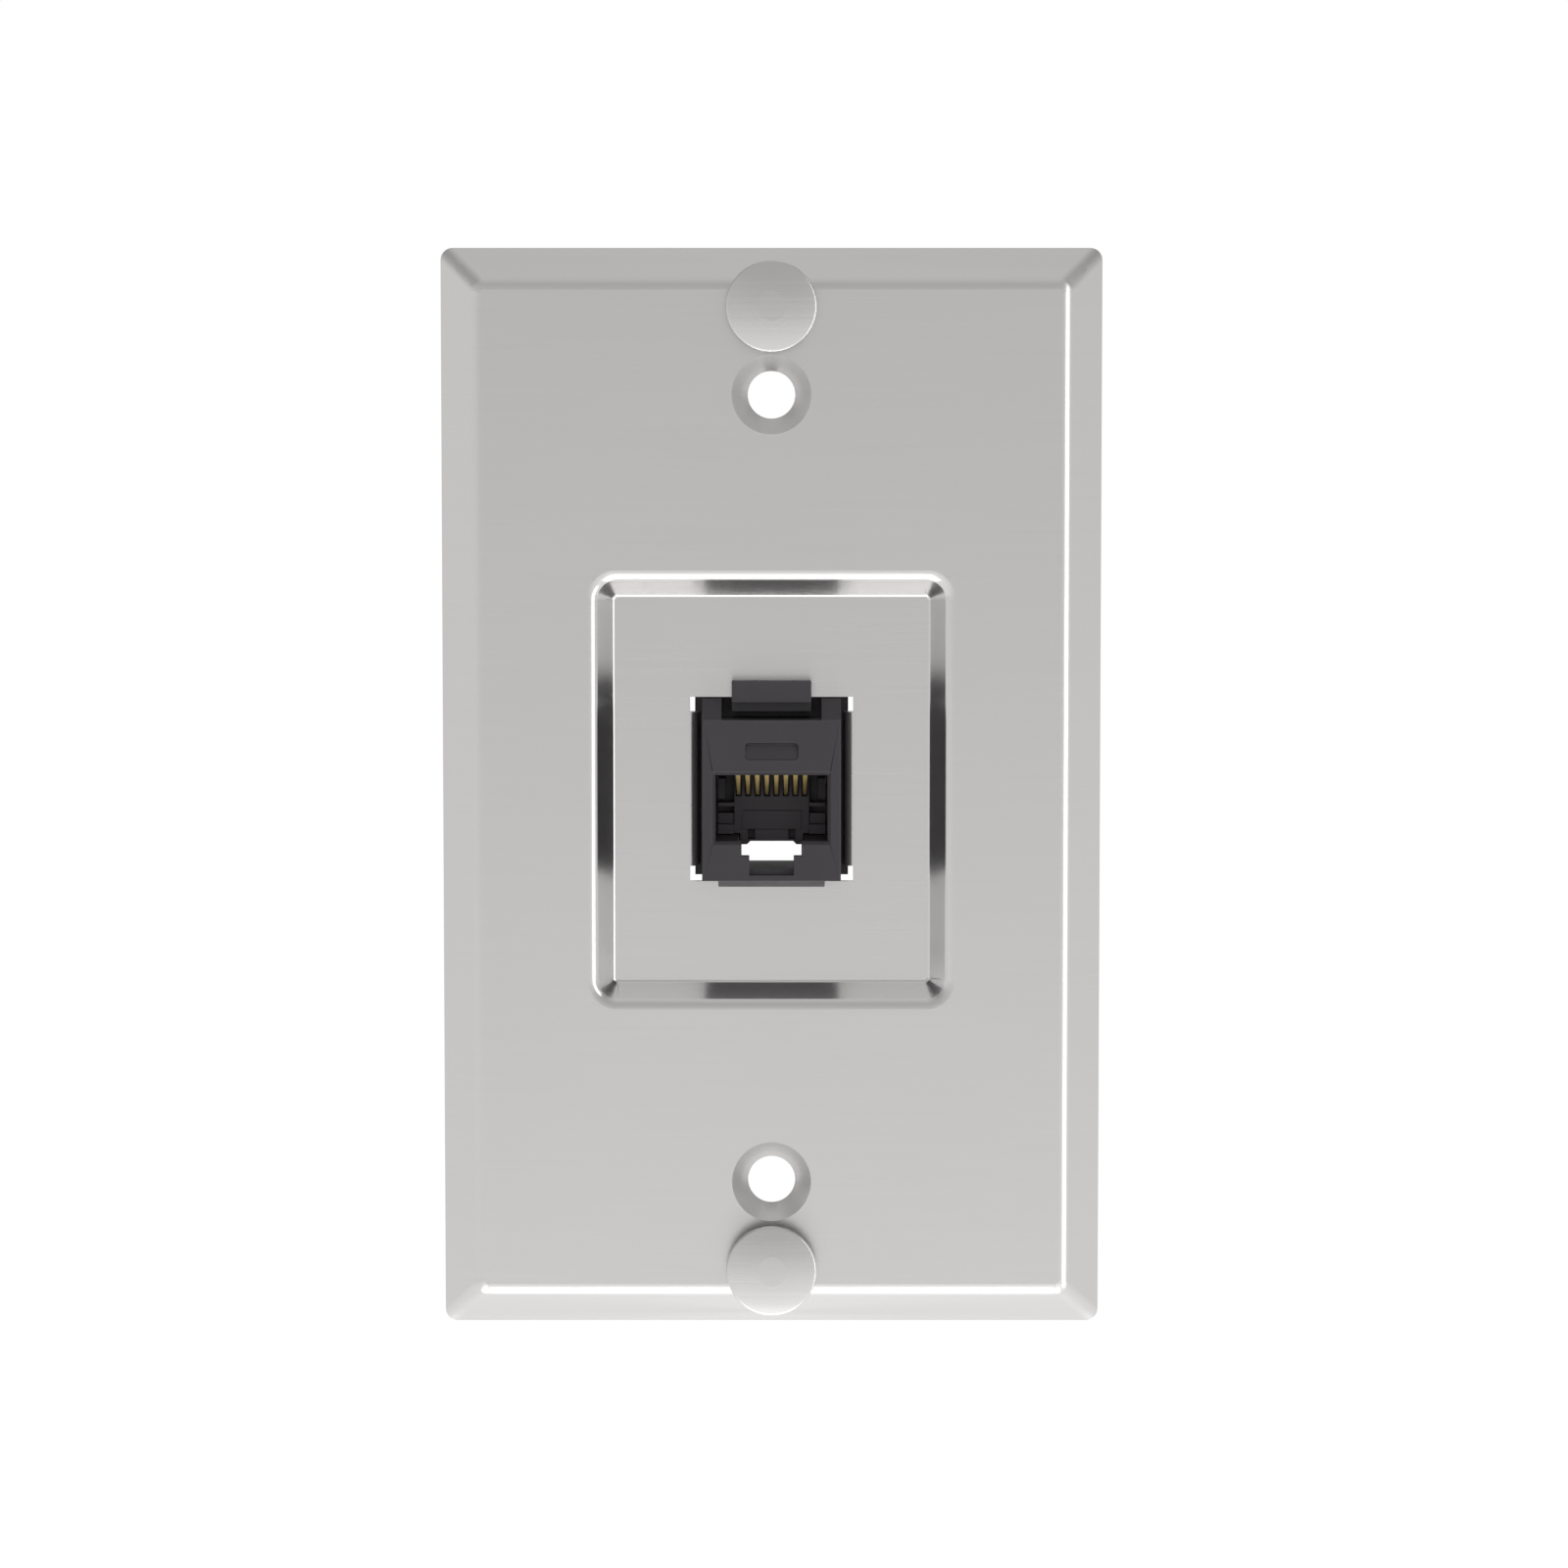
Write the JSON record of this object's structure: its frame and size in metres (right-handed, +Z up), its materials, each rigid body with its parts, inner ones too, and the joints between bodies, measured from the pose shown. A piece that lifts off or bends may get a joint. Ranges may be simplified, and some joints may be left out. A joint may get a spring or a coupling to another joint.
{
  "type": "keystone wall plate",
  "caption": "Single-gang pressed steel wall telephone plate with shoulder studs, countersunk screw holes and a black modular jack snapped into a recessed opening.",
  "frame": {"origin": "middle of the plate's rim, on the wall plane", "axes": "+X to the viewer's right, +Y into the wall, +Z up along the plate's long side"},
  "size_m": [0.0698, 0.0287, 0.1142],
  "materials": {
    "brushed_plate": "fine straight brushing, satin",
    "brushed_stud": "fine straight brushing on the turned head",
    "black_moulding": "satin moulded, fine texture",
    "carrier_moulding": "satin moulded",
    "gilded_contact": "gold plated spring wire",
    "board_laminate": "green solder mask on glass laminate",
    "terminal_moulding": "satin moulded",
    "tinned_terminal": "bright tin plated"
  },
  "bodies": {
    "root": {"faceplate": "brushed_plate", "upper_stud": "brushed_stud", "lower_stud": "brushed_stud", "jack_housing": "black_moulding", "contact_carrier": "carrier_moulding", "circuit_board": "board_laminate", "terminal_block": "terminal_moulding", "contact_1": "gilded_contact", "contact_2": "gilded_contact", "contact_3": "gilded_contact", "contact_4": "gilded_contact", "contact_5": "gilded_contact", "contact_6": "gilded_contact", "contact_7": "gilded_contact", "contact_8": "gilded_contact", "idc_terminal_1": "tinned_terminal", "idc_terminal_2": "tinned_terminal", "idc_terminal_3": "tinned_terminal", "idc_terminal_4": "tinned_terminal", "idc_terminal_5": "tinned_terminal", "idc_terminal_6": "tinned_terminal", "idc_terminal_7": "tinned_terminal", "idc_terminal_8": "tinned_terminal"}
  },
  "joints": []
}
